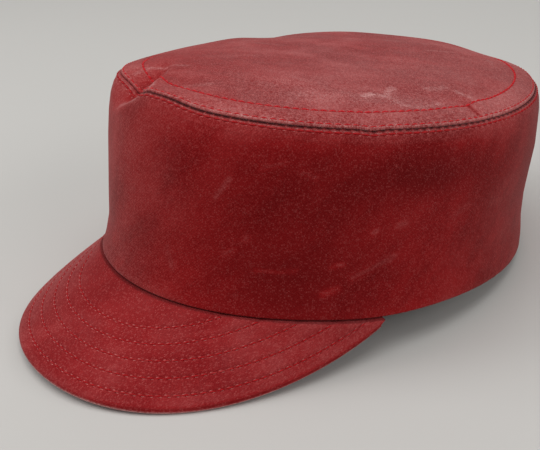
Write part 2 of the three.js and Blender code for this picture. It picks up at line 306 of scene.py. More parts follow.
def sewn_skin(name, rings, cloth, stitches, worn, ditch, ends):
    """Joins rings of points into one closed skin of quads.

    The last column of every ring repeats the first. Without ends, the last ring repeats the first too. With
    ends, the first and the last ring are drawn to a point and closed by fans of triangles. cloth and stitches
    are UV maps, and the two values, all on the same rings, are the wear with painted light in it and the
    painted shade in seams and gaps."""
    rows, columns = rings.shape[0] - 1, rings.shape[1] - 1
    row, column = np.meshgrid(np.arange(rows + 1), np.arange(columns + 1), indexing="ij")
    vertex = (row if ends else row % rows) * columns + column % columns
    if ends:
        vertex[0] = 0
        vertex[1:-1] -= columns - 1
        vertex[-1] = (rows - 1) * columns + 1
    flat = vertex.ravel()
    first_seen = np.unique(flat, return_index=True)[1]
    place = np.arange(vertex.size).reshape(vertex.shape)
    corners = np.stack([place[:-1, :-1], place[:-1, 1:], place[1:, 1:], place[1:, :-1]], -1)
    if ends:
        quads = corners[1:-1].reshape(-1, 4)
        fans = np.concatenate([corners[0][:, [0, 2, 3]], corners[-1][:, [0, 1, 2]]])
    else:
        quads = corners.reshape(-1, 4)
        fans = np.zeros((0, 3), int)
    piece = new_piece(name, rings.reshape(-1, 3)[first_seen], flat[quads].tolist() + flat[fans].tolist())
    laid_out = np.concatenate([quads.ravel(), fans.ravel()])
    for layer, values in (("cloth", cloth), ("stitches", stitches)):
        uv = piece.data.uv_layers.new(name=layer)
        uv.data.foreach_set("uv", values.reshape(-1, 2)[laid_out].astype(np.float32).ravel())
    for layer, values in (("worn", worn), ("ditch", ditch)):
        spread_values = piece.data.attributes.new(layer, "FLOAT", "POINT")
        spread_values.data.foreach_set("value", values.ravel()[first_seen].astype(np.float32))
    return piece


def new_material(name):
    """A new material, its node tree, its shader, and the place of each point on its object."""
    material = bpy.data.materials.new(name)
    material.use_nodes = True
    tree = material.node_tree
    place = tree.nodes.new("ShaderNodeTexCoord").outputs["Object"]
    return material, tree, tree.nodes["Principled BSDF"], place


def set_socket(tree, socket, value):
    """Links a socket to another, or gives it a plain value."""
    if isinstance(value, bpy.types.NodeSocket):
        tree.links.new(value, socket)
    else:
        socket.default_value = value


def calc(tree, operation, *values):
    """One step of arithmetic on node values."""
    step = tree.nodes.new("ShaderNodeMath")
    step.operation = operation
    for socket, value in zip(step.inputs, values):
        set_socket(tree, socket, value)
    return step.outputs[0]


def times(tree, *values):
    """The product of node values, step by step."""
    product = values[0]
    for value in values[1:]:
        product = calc(tree, "MULTIPLY", product, value)
    return product


def one_less(tree, value):
    """1 minus a node value."""
    return calc(tree, "SUBTRACT", 1.0, value)


def ramp(tree, value, low, high):
    """0 below low, 1 above high and a smooth step between them."""
    step = tree.nodes.new("ShaderNodeMapRange")
    step.interpolation_type = "SMOOTHSTEP"
    set_socket(tree, step.inputs["Value"], value)
    step.inputs["From Min"].default_value = low
    step.inputs["From Max"].default_value = high
    return step.outputs["Result"]


def mottle(tree, place, scale, detail, roughness=0.55):
    """Cloudy noise at a place, with that many cells to the unit."""
    cloud = tree.nodes.new("ShaderNodeTexNoise")
    set_socket(tree, cloud.inputs["Vector"], place)
    cloud.inputs["Scale"].default_value = scale
    cloud.inputs["Detail"].default_value = detail
    cloud.inputs["Roughness"].default_value = roughness
    return cloud.outputs["Fac"]


def tint(tree, share, under, over):
    """One colour laid over another by a share."""
    mix = tree.nodes.new("ShaderNodeMix")
    mix.data_type = "RGBA"
    set_socket(tree, mix.inputs["Factor"], share)
    set_socket(tree, mix.inputs[6], under)
    set_socket(tree, mix.inputs[7], over)
    return mix.outputs[2]


def laid_flat(tree, layer):
    """The two coordinates of a UV map of the mesh."""
    uv = tree.nodes.new("ShaderNodeUVMap")
    uv.uv_map = layer
    split = tree.nodes.new("ShaderNodeSeparateXYZ")
    tree.links.new(uv.outputs["UV"], split.inputs[0])
    return split.outputs["X"], split.outputs["Y"]


def mesh_value(tree, layer):
    """A value that the mesh carries point by point."""
    carried = tree.nodes.new("ShaderNodeAttribute")
    carried.attribute_name = layer
    return carried.outputs["Fac"]


def roughen(tree, shader, height, strength, distance):
    """Fine relief: the shader's normal tilted by the slope of a height."""
    bump = tree.nodes.new("ShaderNodeBump")
    bump.inputs["Strength"].default_value = strength
    bump.inputs["Distance"].default_value = distance
    tree.links.new(height, bump.inputs["Height"])
    tree.links.new(bump.outputs["Normal"], shader.inputs["Normal"])


# Colours of the canvas: its dyes and a deeper red for painted shade, its pale specks, threads and fibres,
# its chalk, and near black for painted shade in its seams and gaps.
DYE_DEEP = (0.15, 0.0010, 0.0020, 1)
DYE_MIDDLE = (0.240, 0.0046, 0.0058, 1)
PAINTED_SHADE_RED = (0.09, 0.0008, 0.0015, 1)
SPECK = (0.42, 0.04, 0.04, 1)
TOOTH = (0.47, 0.105, 0.10, 1)
FIBRE = (0.60, 0.26, 0.25, 1)
CHALK = (0.56, 0.27, 0.26, 1)
PUCKER = (0.60, 0.22, 0.21, 1)
GAP_SHADE_COLOUR = (0.012, 0.001, 0.0015, 1)
SHEEN = (1.0, 0.86, 0.84, 1)

# The weave: millimetres between threads, and how far they waver.
THREAD_PITCH = 0.62
THREAD_WAVER = 0.9

# Smears of wax run slantwise: their turn, length and width in metres.
SMEAR_TURN = (0.0, np.radians(-40), np.radians(45))
SMEAR_SIZE = (0.085, 0.022, 0.022)

# Cells of noise to the metre, from slow clouds to the finest grain.
CLOUD_CELLS = 21
BLOOM_CELLS = 46
WAVER_CELLS = 260
SCATTER_CELLS = 310
ROW_CELLS = 560
CURL_CELLS = 640
SLUB_CELLS = 780
GRAIN_CELLS = 2300

# Where each kind of mark begins to show in its noise, and where it is full.
DYE_CLOUDS = (0.52, 0.8)
SPECK_GRAIN = (0.4, 0.7)
SPECK_SLUB = (0.15, 0.7)
BLOOM_CLOUDS = (0.42, 0.8)
BLOOM_SMEARS = (0.48, 0.74)
CHALK_GRAIN = (0.3, 0.7)
CHALK_SLUB = (0.3, 0.65)
FIBRE_CURL = (0.004, 0.03)
FIBRE_SCATTER = (0.56, 0.66)
PALE_THREADS = (0.6, 1.0)
DEEP_THREADS = (0.0, 0.4)

# How much of each shows: smears and clouds in the dye, weave and specks, chalk on raised grain and on all.
SMEAR_SHARE = 0.8
CLOUD_SHARE = 0.5
WEAVE_SHARE = 0.02
SPECK_SHARE = 0.5
CHALK_ON_GRAIN = 0.8
CHALK_ON_ALL = 0.12
FIBRE_SHARE = 0.07

# Pale ticks beside a row of stitches: millimetres from the row, how they fade across and along it, and how
# far the two sides are out of step. Threads bridge a dark seam at the holes, and both are uneven.
TICK_OFF_ROW = 0.42
TICK_ACROSS = (0.02, 0.16)
TICK_ALONG = (0.4, 0.95)
TICK_STAGGER = 0.17
# The dark of the seam that the threads bridge is painted shade.
BRIDGE_ALONG = (0.55, 1.0)
BRIDGE_SHARE = 0.6
ROW_UNEVEN = (0.3, 0.6)
ROW_ALWAYS = 0.4


def waxed_canvas(name, bloom, tooth, puckering, dyes=(DYE_DEEP, DYE_MIDDLE)):
    """Waxed canvas: two reds in soft clouds and slanting smears, a plain weave of two crossed sines, pale
    specks and short curled fibres, wax bloom, chalk where the mesh's wear value is high, with painted
    light in it too, painted shade in a deeper red where that value is below zero, a tooth of paler and
    deeper threads, pale ticks beside stitch rows, and near black painted shade in seams
    and gaps."""
    material, tree, shader, place = new_material(name)
    waver = mottle(tree, place, WAVER_CELLS, 2)
    threads = []
    crossing = tree.nodes.new("ShaderNodeCombineXYZ")
    for axis, across in enumerate(laid_flat(tree, "cloth")):
        wavering = calc(tree, "MULTIPLY_ADD", waver, THREAD_WAVER, across)
        counted = times(tree, wavering, 1 / THREAD_PITCH)
        threads.append(calc(tree, "SINE", times(tree, counted, np.pi)))
        tree.links.new(calc(tree, "FLOOR", counted), crossing.inputs[axis])
    weave = times(tree, *threads)
    chance = tree.nodes.new("ShaderNodeTexWhiteNoise")
    chance.noise_dimensions = "2D"
    tree.links.new(crossing.outputs[0], chance.inputs["Vector"])

    slantwise = tree.nodes.new("ShaderNodeMapping")
    slantwise.vector_type = "TEXTURE"
    slantwise.inputs["Rotation"].default_value = SMEAR_TURN
    slantwise.inputs["Scale"].default_value = SMEAR_SIZE
    tree.links.new(place, slantwise.inputs["Vector"])
    smear = mottle(tree, slantwise.outputs["Vector"], 1, 4, 0.6)
    clouds = mottle(tree, place, CLOUD_CELLS, 4, 0.6)
    grain = mottle(tree, place, GRAIN_CELLS, 2, 0.6)
    slub = mottle(tree, place, SLUB_CELLS, 3, 0.7)
    cloudy = calc(tree, "MULTIPLY_ADD", smear, SMEAR_SHARE, times(tree, clouds, CLOUD_SHARE))
    dye = tint(tree, ramp(tree, cloudy, *DYE_CLOUDS), *dyes)

    specks = times(tree, ramp(tree, grain, *SPECK_GRAIN), ramp(tree, slub, *SPECK_SLUB))
    raised = calc(tree, "MULTIPLY_ADD", weave, WEAVE_SHARE, times(tree, specks, SPECK_SHARE))
    speckled = tint(tree, calc(tree, "MAXIMUM", raised, 0.0), dye, SPECK)
    bloom_cloud = ramp(tree, mottle(tree, place, BLOOM_CELLS, 5, 0.65), *BLOOM_CLOUDS)
    patchy = calc(tree, "ADD", bloom_cloud, ramp(tree, smear, *BLOOM_SMEARS))
    # The wear value: chalk and bloom, with painted light in places, and painted shade below zero.
    worn = mesh_value(tree, "worn")
    broken = times(tree, ramp(tree, grain, *CHALK_GRAIN), ramp(tree, slub, *CHALK_SLUB))
    chalk_and_painted_light = times(tree, worn, calc(tree, "MULTIPLY_ADD", broken, CHALK_ON_GRAIN, CHALK_ON_ALL))
    bloom_chalk_and_painted_light = calc(tree, "ADD", times(tree, patchy, bloom), chalk_and_painted_light)
    with_chalk_and_painted_light = tint(tree, calc(tree, "MAXIMUM", bloom_chalk_and_painted_light, 0.0), speckled, CHALK)
    # Painted shade: a deeper red laid on where the wear value is below zero.
    painted_shade_share = calc(tree, "MAXIMUM", times(tree, worn, -1.0), 0.0)
    with_painted_shade = tint(tree, painted_shade_share, with_chalk_and_painted_light, PAINTED_SHADE_RED)

    curl = calc(tree, "ABSOLUTE", calc(tree, "SUBTRACT", mottle(tree, place, CURL_CELLS, 1), 0.5))
    strand = one_less(tree, ramp(tree, curl, *FIBRE_CURL))
    scattered = ramp(tree, mottle(tree, place, SCATTER_CELLS, 1), *FIBRE_SCATTER)
    fuzzy = tint(tree, times(tree, strand, scattered, FIBRE_SHARE), with_painted_shade, FIBRE)
    lump = times(tree, calc(tree, "ABSOLUTE", weave), tooth)
    pale = times(tree, ramp(tree, chance.outputs["Value"], *PALE_THREADS), lump)
    deep = times(tree, one_less(tree, ramp(tree, chance.outputs["Value"], *DEEP_THREADS)), lump)
    toothed = tint(tree, deep, tint(tree, pale, fuzzy, TOOTH), dyes[0])

    along_row, off_row = laid_flat(tree, "stitches")
    stepped = calc(tree, "MULTIPLY_ADD", calc(tree, "SIGN", off_row), TICK_STAGGER, along_row)
    tick = calc(tree, "COSINE", times(tree, stepped, 2 * np.pi))
    beside = calc(tree, "SUBTRACT", calc(tree, "ABSOLUTE", off_row), TICK_OFF_ROW)
    by_row = one_less(tree, ramp(tree, calc(tree, "ABSOLUTE", beside), *TICK_ACROSS))
    uneven = ramp(tree, mottle(tree, place, ROW_CELLS, 1), *ROW_UNEVEN)
    patchy_row = calc(tree, "MULTIPLY_ADD", uneven, 1 - ROW_ALWAYS, ROW_ALWAYS)
    pucker = times(tree, by_row, patchy_row, ramp(tree, tick, *TICK_ALONG))
    puckered = tint(tree, times(tree, pucker, puckering), toothed, PUCKER)
    # Painted shade, near black, in seams and gaps, broken where threads bridge the seam at its holes.
    hole = calc(tree, "COSINE", times(tree, along_row, 2 * np.pi))
    bridge = times(tree, ramp(tree, hole, *BRIDGE_ALONG), times(tree, uneven, BRIDGE_SHARE))
    sunk = times(tree, mesh_value(tree, "ditch"), one_less(tree, bridge))
    tree.links.new(tint(tree, sunk, puckered, GAP_SHADE_COLOUR), shader.inputs["Base Color"])

    roughness = calc(tree, "MULTIPLY_ADD", grain, 0.3, 0.5)
    tree.links.new(roughness, shader.inputs["Roughness"])
    shader.inputs["Specular IOR Level"].default_value = 0.05
    shader.inputs["Sheen Weight"].default_value = 0.08
    shader.inputs["Sheen Roughness"].default_value = 0.4
    shader.inputs["Sheen Tint"].default_value = SHEEN

    relief = calc(tree, "MULTIPLY_ADD", weave, 0.35, calc(tree, "MULTIPLY_ADD", grain, 0.9, slub))
    roughen(tree, shader, relief, 0.35, 0.25 * MM)
    return material


crown_canvas = waxed_canvas("crown_canvas", bloom=0.03, tooth=0.28, puckering=0.45)
crown_turn = np.linspace(0, 2 * np.pi, CROWN_COLUMNS + 1)[None, :]

# Chalky marks on the side: points by degrees round and height, half width, strength.
SIDE_MARKS = [
    ([(28.7, 44.1), (31.7, 51.8)], 1.8, 0.20), ([(38.6, 57.1), (43.1, 59.3)], 1.6, 0.16),
    ([(47.5, 56.5), (50.4, 55.1)], 1.8, 0.18), ([(36.4, 29.8), (37.2, 30.4)], 1.6, 0.20),
    ([(31.6, 22.4), (34.2, 25.2)], 1.6, 0.16), ([(39.8, 17.8), (49.1, 18.9)], 0.9, 0.12),
    ([(55.8, 10.3), (59.0, 12.0)], 1.8, 0.16), ([(57.0, 20.9), (59.5, 21.9)], 1.1, 0.32),
    ([(65.2, 34.0), (66.2, 34.6)], 1.7, 0.24), ([(71.2, 36.0), (72.6, 36.4)], 2.0, 0.20),
    ([(61.7, 16.3), (71.3, 23.7)], 2.8, 0.14), ([(86.0, 36.0), (90.0, 40.0)], 2.2, 0.12),
    ([(98.7, 37.6), (104.0, 35.0)], 2.4, 0.13), ([(107.0, 16.6), (112.0, 22.0)], 2.4, 0.12),
    ([(-3.0, 44.0), (-6.0, 36.0)], 3.0, 0.20), ([(15.9, 19.2), (18.1, 12.3)], 2.0, 0.16),
    ([(-30.0, 30.0), (-24.0, 41.0)], 2.0, 0.17), ([(-62.0, 48.0), (-70.0, 44.0)], 2.0, 0.18),
    ([(-96.0, 20.0), (-104.0, 28.0)], 2.2, 0.17), ([(-128.0, 52.0), (-139.0, 49.0)], 1.8, 0.18),
    ([(-152.0, 24.0), (-158.0, 33.0)], 2.4, 0.16), ([(132.0, 40.0), (141.0, 47.0)], 2.2, 0.17),
    ([(160.0, 18.0), (168.0, 24.0)], 2.0, 0.16), ([(174.0, 50.0), (181.0, 46.0)], 1.8, 0.14),
    ([(-1.0, 70.6), (-5.4, 67.1), (-12.3, 63.4)], 1.5, 0.9),
]
SIDE_MARK_SHARE = 0.85

# Bells of wear on the side, by middle, half width, strength and power: up from the hem and down from the seam
# in millimetres, round from the front in degrees.
HEM_RUB = (0, 2.2, 0.1)
SEAM_RUB = (0.6, 0.35, 0.35)
# Blooms at the side's edges as the camera sees them: partly wax bloom, partly painted sheen.
SIDE_BLOOMS_AND_SHEEN = [(-20, 28, 0.21), (116, 24, 0.04)]
SHOULDER_RUB = 0.08
SHOULDER_PALER = (95, 45, 0.12, 4)
SHOULDER_HEIGHT = 5.0

# Painted shade in a deeper red: a band down the side that starts below the seam, then patches by degrees
# round, height, half width, half height and strength: low in the band, high on the wearer's left, and in the
# hollow beside the fold.
SHADE_BAND = (51, 20, 0.34)
SHADE_BAND_BELOW = 9.0
SIDE_SHADES = [(48, 12, 28, 16, 0.28), (79, 54, 26, 8, 0.6), (-9.5, 67.5, 7.0, 3.5, 0.7)]

# Painted shade in the open seam: how dark it is, how much its beads take off, where it gapes, where the
# front is pressed shut and how far below the seam it reaches. Painted shade on the allowance under the top.
SEAM_DARK = 0.92
SEAM_BEADS = 0.75
SEAM_GAPE = (26, 26, 1, 4)
SEAM_PRESSED = (-40, 30, 0.85, 6)
SEAM_SHADE_REACH = 0.34
ALLOWANCE_SHADE = 0.9

# Values for faces that no row of stitches and no mark reaches.
FAR_FROM_ROW = 9.0
HIDDEN_WEAR = 0.05
HIDDEN_CLOTH = 200.0


def side_wear_and_painted_light(turn, height, below_seam):
    """Chalk on the side: a sum of bells for its rubs and blooms, less painted shade, which goes below zero.

    Each mark of chalk, measured on the side laid flat, then lifts it to the mark's own strength."""
    off = np.degrees(turned_from(turn))
    per_degree = np.radians(1) * MEAN_RADIUS
    # The blooms at the side's edges are partly painted sheen.
    wear = bells(height, HEM_RUB) + bells(off, *SIDE_BLOOMS_AND_SHEEN) + bells(below_seam, SEAM_RUB)
    wear = wear + (SHOULDER_RUB + bells(off, SHOULDER_PALER)) * bell(below_seam, SHOULDER_HEIGHT)
    # Painted shade in a deeper red: the band, then the patches.
    wear = wear - bells(off, SHADE_BAND) * (1 - bell(below_seam, SHADE_BAND_BELOW))
    for middle, middle_height, wide, high, strength in SIDE_SHADES:
        wear = wear - strength * hollow((off - middle) * per_degree / wide, (height - middle_height) / high)
    for line, width, strength in SIDE_MARKS:
        flat = [(degrees * per_degree, mark_height) for degrees, mark_height in line]
        near = near_line(off * per_degree, height, flat, width)
        wear = wear + (np.maximum(wear, SIDE_MARK_SHARE * strength) - wear) * near ** 2
    return wear


def seam_shade(turn):
    """Painted shade in the open seam: even where it gapes beside the front, elsewhere a cosine of beads.

    Where the front is pressed shut a flat bell takes it off."""
    off = np.degrees(turned_from(turn))
    beads = 0.5 + 0.5 * np.cos(2 * np.pi * seam_phase(turn))
    return (SEAM_DARK - SEAM_BEADS * (1 - bells(off, SEAM_GAPE)) * beads) * (1 - bells(off, SEAM_PRESSED))


def crown_side():
    """Rings of the side: round the hem's fold, up outside, in along the allowance, back and down inside."""
    fold = np.linspace(0, np.pi, HEM_FOLD_ROWS)
    fold_depth = HEM_THICKNESS * (0.5 + 0.5 * np.cos(fold))
    fold_share = HEM_FOLD * (1 - np.sin(fold)) / SEAM_HEIGHT_FRONT
    edge_share = 1 - SEWN_EDGE_HEIGHT / SEAM_HEIGHT_FRONT
    face_share = np.concatenate([
        np.linspace(fold_share[-1], edge_share, SIDE_ROWS)[1:],
        np.linspace(edge_share, 1, SEWN_EDGE_ROWS + 1)[1:],
    ])
    hem_top = HEM_HEIGHT / SEAM_HEIGHT_FRONT
    wall_share = np.concatenate([np.linspace(INSIDE_FROM, INSIDE_TO, INSIDE_ROWS), [hem_top + HEM_LEDGE]])
    hem_share = np.linspace(hem_top, HEM_FOLD / SEAM_HEIGHT_FRONT, HEM_ROWS)
    outer_share = np.concatenate([fold_share, face_share])[:, None]
    outer_depth = np.concatenate([fold_depth, np.zeros(len(face_share))])[:, None]
    inner_share = np.concatenate([wall_share, hem_share])[:, None]
    inner_depth = np.repeat([SIDE_CLOTH, HEM_THICKNESS], [len(wall_share), HEM_ROWS])[:, None]
    inset = np.array([STRIP_ROLL, 0.5 * STRIP_WIDTH, STRIP_WIDTH])[:, None]
    under_strip = strip_lift(inset) - TOP_CLOTH - GAP
    rings = np.concatenate([
        on_side(outer_share, outer_depth, crown_turn),
        on_top(inset, under_strip, crown_turn),
        on_top(inset[::-1], under_strip[::-1] - ALLOWANCE_CLOTH, crown_turn),
        on_side(inner_share, inner_depth, crown_turn),
    ])

    seam = seam_height(*oval(SEAM_LENGTH, SEAM_WIDTH, crown_turn))
    height = np.concatenate([outer_share, np.ones((2 * len(inset), 1)), inner_share]) * seam
    below_seam = seam - height
    phase = np.broadcast_to(seam_phase(crown_turn), height.shape)
    ring_number = np.arange(len(rings))[:, None]
    outside = ring_number < len(outer_share)
    row_off = np.where(outside, below_seam - SIDE_ROW_BELOW_SEAM, FAR_FROM_ROW)
    girth = phase * np.pi * (SEAM_LENGTH + SEAM_WIDTH) / 2 / SEAM_STITCHES
    cloth = np.stack([girth, np.where(outside, height, HIDDEN_CLOTH + ring_number)], -1)
    # The wear value on the outer face, with painted light and painted shade in it.
    worn = np.where(outside, side_wear_and_painted_light(crown_turn, height, below_seam), HIDDEN_WEAR)
    # Painted shade, near black: in the seam's groove on the outer face, and on the allowance under the top.
    ditch = np.where(outside, seam_shade(crown_turn) * bell(below_seam, SEAM_SHADE_REACH, 4), ALLOWANCE_SHADE)
    ditch[len(outer_share) + len(inset):] = 0
    grids = (standing(rings), cloth, np.stack([phase, row_off], -1), worn, ditch)
    closed = [np.concatenate([grid, grid[:1]]) for grid in grids]
    return sewn_skin("crown_side_canvas", *closed, ends=False)


side = crown_side()
side.data.materials.append(crown_canvas)
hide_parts("crown_side")
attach(side, "root")


# The top of the crown: a flat oval of the same canvas, its edge rolled under and sewn to the side.
# The allowances under it raise a strip along the edge, held down by a third row of stitches inside.
STRIP_STEP = 0.1
STRIP_STEP_WIDTH = 0.6
STRIP_ROW = 1.3
STRIP_PUFF = 0.3
TOP_DOME = 3.0
INNER_ROW = 9.2
INNER_STITCHES = 152
EDGE_ROLL = 0.75
ROLL_SET_BACK = 0.45
ROLL_END = 0.42 * np.pi

# The stretch of the inner row that was sewn tighter, round the wearer's right: degrees, depth and half width.
TIGHT_MIDDLE = -115.0
TIGHT_HALF_TURN = 92.0
TIGHT_FADE = 15.0
TIGHT_DEPTH = 0.45
TIGHT_WIDTH = 0.75

# Rings of the top: how many round the roll, then insets and counts from the edge to the middle, and below.
ROLL_RINGS = 9
UPPER_FROM = 1.15
EDGE_TO = 3.2
EDGE_RINGS = 11
STRIP_TO = 11.6
STRIP_RINGS = 24
MIDDLE_RINGS = 50
MIDDLE_CROWDING = 0.94
LOWER_SHARES = np.array([1.0, 0.8, 0.6, 0.38, 0.2])
LOWER_INSETS = np.array([10.4, STRIP_WIDTH, 5.0, 2.0])

# Dyes of the top, and its wear: a bloom that grows towards the wearer's left, a rubbed strip and its edge.
TOP_DYES = ((0.175, 0.0023, 0.0033, 1), (0.26, 0.0064, 0.0076, 1))
TOP_BLOOM = 0.09
TOP_CHALK = 0.27
TOP_CHALK_FROM = -10.0
TOP_CHALK_OVER = 50.0
STRIP_RUB = 0.14
TOP_EDGE_RUB = (1.0, 0.6, 0.45)

# Painted shade in the pit beside the fold, by middle and half sizes, and painted shadow along the tuck
# across the strip.
TOP_PAINTED_SHADE = 0.7
SHADED_PIT = (-12.5, -86.0, 6.0, 8.0)
TUCK_SHADOW = [(70.0, 4.2), (73.0, 3.2), (76.4, 2.6)]
TUCK_SHADOW_WIDTH = 1.1
TUCK_SHADOW_SHARE = 1.3

# Creases and chalky marks of the top: points in plan, half width, strength.
TOP_MARKS = [
    ([(-14.5, -74.8), (-3.4, -86.0), (2.0, -91.3)], 1.5, 0.95),
    ([(-24.5, -82.8), (-25.3, -75.6), (-19.9, -71.5), (-13.1, -66.5)], 1.2, 0.65),
    ([(11.0, -84.0), (13.6, -73.4)], 1.4, 0.45), ([(22.1, -42.1), (29.7, -40.8)], 0.9, 0.45),
    ([(44.0, -62.0), (40.3, -54.5)], 1.6, 0.28), ([(25.6, -54.7), (33.2, -37.0)], 6.0, 0.16),
    ([(-20.5, -50.8), (-11.5, -27.2)], 2.6, 0.16), ([(50.7, -30.7), (50.6, -27.3)], 1.5, 2.4),
    ([(50.6, -27.3), (53.5, -23.1), (47.7, -13.7)], 1.6, 1.1),
    ([(55.5, -22.3), (62.0, -22.7), (66.0, -16.9), (65.5, -6.8)], 1.8, 0.75),
    ([(52.9, 0.0), (54.3, 8.7)], 1.6, 0.8), ([(58.9, 10.2), (64.3, 10.3), (70.0, 9.7)], 1.4, 0.7),
    ([(-20.3, 51.3), (-15.4, 55.0)], 1.6, 0.4), ([(7.6, 49.4), (14.3, 58.2)], 1.4, 0.36),
    ([(-7.3, 63.0), (-1.7, 69.6)], 1.4, 0.34), ([(-52.0, 10.0), (-44.0, 24.0)], 2.0, 0.3),
    ([(-40.0, -14.0), (-28.0, -8.0)], 1.6, 0.24), ([(30.0, 66.0), (40.0, 58.0)], 1.6, 0.3),
    ([(40.0, -50.0), (52.0, -32.0), (63.0, -14.0)], 7.0, 0.3),
]


def inner_phase(turn):
    """Stitches counted from the front along the inner row, in step with the seam's own count."""
    return seam_phase(turn) * INNER_STITCHES / SEAM_STITCHES


def top_lift(inset, turn):
    """Lift of the top's upper face: the strip's ramp with a sine of puff between its rows, then one step down
    to a dome that falls with the cube of the way out.

    The needle pulls a narrow bell on each row, deeper at the holes."""
    half = SEAM_WIDTH / 2
    share = (half - inset) / (half - STRIP_WIDTH)
    middle = STRIP_RISE - STRIP_STEP + TOP_DOME * (1 - share ** 3)
    between = np.clip((inset - STRIP_ROW) / (INNER_ROW - STRIP_ROW), 0, 1)
    strip = strip_lift(inset) + STRIP_PUFF * np.sin(np.pi * between)
    inside = 0.5 + 0.5 * np.tanh((inset - STRIP_WIDTH) / STRIP_STEP_WIDTH)
    strip_pull = bell(inset - STRIP_ROW, NEEDLE_PULL_WIDTH) * hole_pull(seam_phase(turn))
    inner_pull = bell(inset - INNER_ROW, NEEDLE_PULL_WIDTH) * hole_pull(inner_phase(turn))
    return strip + (middle - strip) * inside - NEEDLE_PULL * (strip_pull + inner_pull)


def smooth_step(value):
    """0 below zero, 1 above one, and between them the value squared times (3 minus twice the value)."""
    share = np.clip(value, 0, 1)
    return share ** 2 * (3 - 2 * share)


def tight_row(inset, turn):
    """A groove where the inner row was sewn tighter: a bell across it, with a smooth step at both ends."""
    off = np.abs(np.degrees(turned_from(turn, TIGHT_MIDDLE)))
    tight = smooth_step((TIGHT_HALF_TURN - off) / TIGHT_FADE)
    return TIGHT_DEPTH * tight * bell(inset - INNER_ROW, TIGHT_WIDTH)


def top_wear(x, y):
    """Chalk on the top: the strongest of its creases and marks, measured in plan."""
    wear = np.zeros(np.shape(x))
    for line, width, strength in TOP_MARKS:
        wear = np.maximum(wear, strength * near_line(x, y, line, width))
    return wear


def pit_and_tuck_shade(x, y):
    """Painted shade in the fold's pit, a soft hollow in plan, and painted shadow along the strip's tuck."""
    pit = hollow((x - SHADED_PIT[0]) / SHADED_PIT[2], (y - SHADED_PIT[1]) / SHADED_PIT[3])
    return np.maximum(pit, TUCK_SHADOW_SHARE * near_line(x, y, TUCK_SHADOW, TUCK_SHADOW_WIDTH))


def crown_top():
    """Rings of the top: from the middle below out to the edge, round the roll, and in over the top."""
    half = SEAM_WIDTH / 2
    roll = np.linspace(-0.5 * np.pi, ROLL_END, ROLL_RINGS)[:, None]
    roll_inset = ROLL_SET_BACK + EDGE_ROLL * (1 - np.cos(roll))
    roll_lift = STRIP_ROLL - EDGE_ROLL + EDGE_ROLL * np.sin(roll)
    near_edge = np.linspace(UPPER_FROM, EDGE_TO, EDGE_RINGS)
    over_strip = np.linspace(EDGE_TO, STRIP_TO, STRIP_RINGS)[1:]
    far_in = half - (half - STRIP_TO) * (1 - np.linspace(0, 1, MIDDLE_RINGS)[1:] ** MIDDLE_CROWDING)
    upper = np.concatenate([near_edge, over_strip, far_in])[:, None]
    lower = np.concatenate([half * LOWER_SHARES, LOWER_INSETS])[:, None]
    rings = np.concatenate([
        on_top(lower, top_lift(lower, crown_turn) - TOP_CLOTH, crown_turn),
        on_top(roll_inset, roll_lift, crown_turn),
        on_top(upper, top_lift(upper, crown_turn) - tight_row(upper, crown_turn), crown_turn),
    ])
    rings[[0, -1]] = rings[[0, -1]].mean(1, keepdims=True)

    x = rings[..., 0]
    y = rings[..., 1]
    inset = np.broadcast_to(np.concatenate([lower, roll_inset, upper]), x.shape)
    seen = (np.arange(len(rings)) >= len(lower))[:, None]
    nearer_seam = inset < 0.5 * (STRIP_ROW + INNER_ROW)
    phase = np.where(nearer_seam, seam_phase(crown_turn), inner_phase(crown_turn))
    row_off = np.where(seen, np.where(nearer_seam, STRIP_ROW, INNER_ROW) - inset, FAR_FROM_ROW)
    chalk = np.maximum(top_wear(x, y), bells(inset, TOP_EDGE_RUB) + STRIP_RUB * (inset < INNER_ROW))
    rubbed = TOP_BLOOM + TOP_CHALK * smooth_step((x - TOP_CHALK_FROM) / TOP_CHALK_OVER)
    # Below zero: painted shade in the pit beside the fold and painted shadow along the tuck.
    worn = np.where(seen, rubbed + chalk - TOP_PAINTED_SHADE * pit_and_tuck_shade(x, y), HIDDEN_WEAR)
    # Painted shade, near black, on the lower part of the rolled edge, in the seam's beads.
    rolled = np.zeros(len(rings))
    rolled[len(lower):len(lower) + len(roll)] = np.linspace(1.0, 0.0, len(roll))
    ditch = np.clip(3 * rolled - 2, 0, 1)[:, None] * seam_shade(crown_turn)
    return sewn_skin("crown_top_canvas", standing(rings), rings[..., :2], np.stack([phase, row_off], -1),
                     worn, ditch, ends=True)


top = crown_top()
top_canvas = waxed_canvas("top_canvas", bloom=0.13, tooth=0.75, puckering=0.35, dyes=TOP_DYES)
top.data.materials.append(top_canvas)
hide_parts("crown_top")
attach(top, "root")


# The peak: two faces of canvas over a stiff core, with the outer edge turned in and five rows of stitches.
# It is sewn under the front of the rim by an allowance that stands up inside the hem.
PEAK_HALF_TURN = np.radians(70.8)
PEAK_CORNER_SHARE = 0.995
PEAK_DEPTH = 37.1
PEAK_DROP = 1.0
PEAK_SLOPE = 0.686
PEAK_SLOPE_MORE_AT_CORNERS = 0.162
PEAK_FAN = 0.06
PEAK_SAG_REACH = 30.0
PEAK_SAG_FADE = 1.5
PEAK_BLUNTNESS = 3.6
PEAK_ROUNDNESS = 1.3
PEAK_THICKNESS = 3.0
PEAK_ALLOWANCE_CLOTH = 1.4
PEAK_ALLOWANCE_HEIGHTS = (7.0, 3.0)

# Rows of stitches from the edge inwards, the length of a stitch, and how the needle pulls the cloth in.
PEAK_FIRST_ROW = 4.4
PEAK_ROW_STEP = 6.35
PEAK_ROWS_FROM_EDGE = PEAK_FIRST_ROW + PEAK_ROW_STEP * np.arange(5)
STITCH_LENGTH = 3.2
PEAK_NEEDLE_PULL = 0.5
PEAK_PULL_WIDTH = 0.75

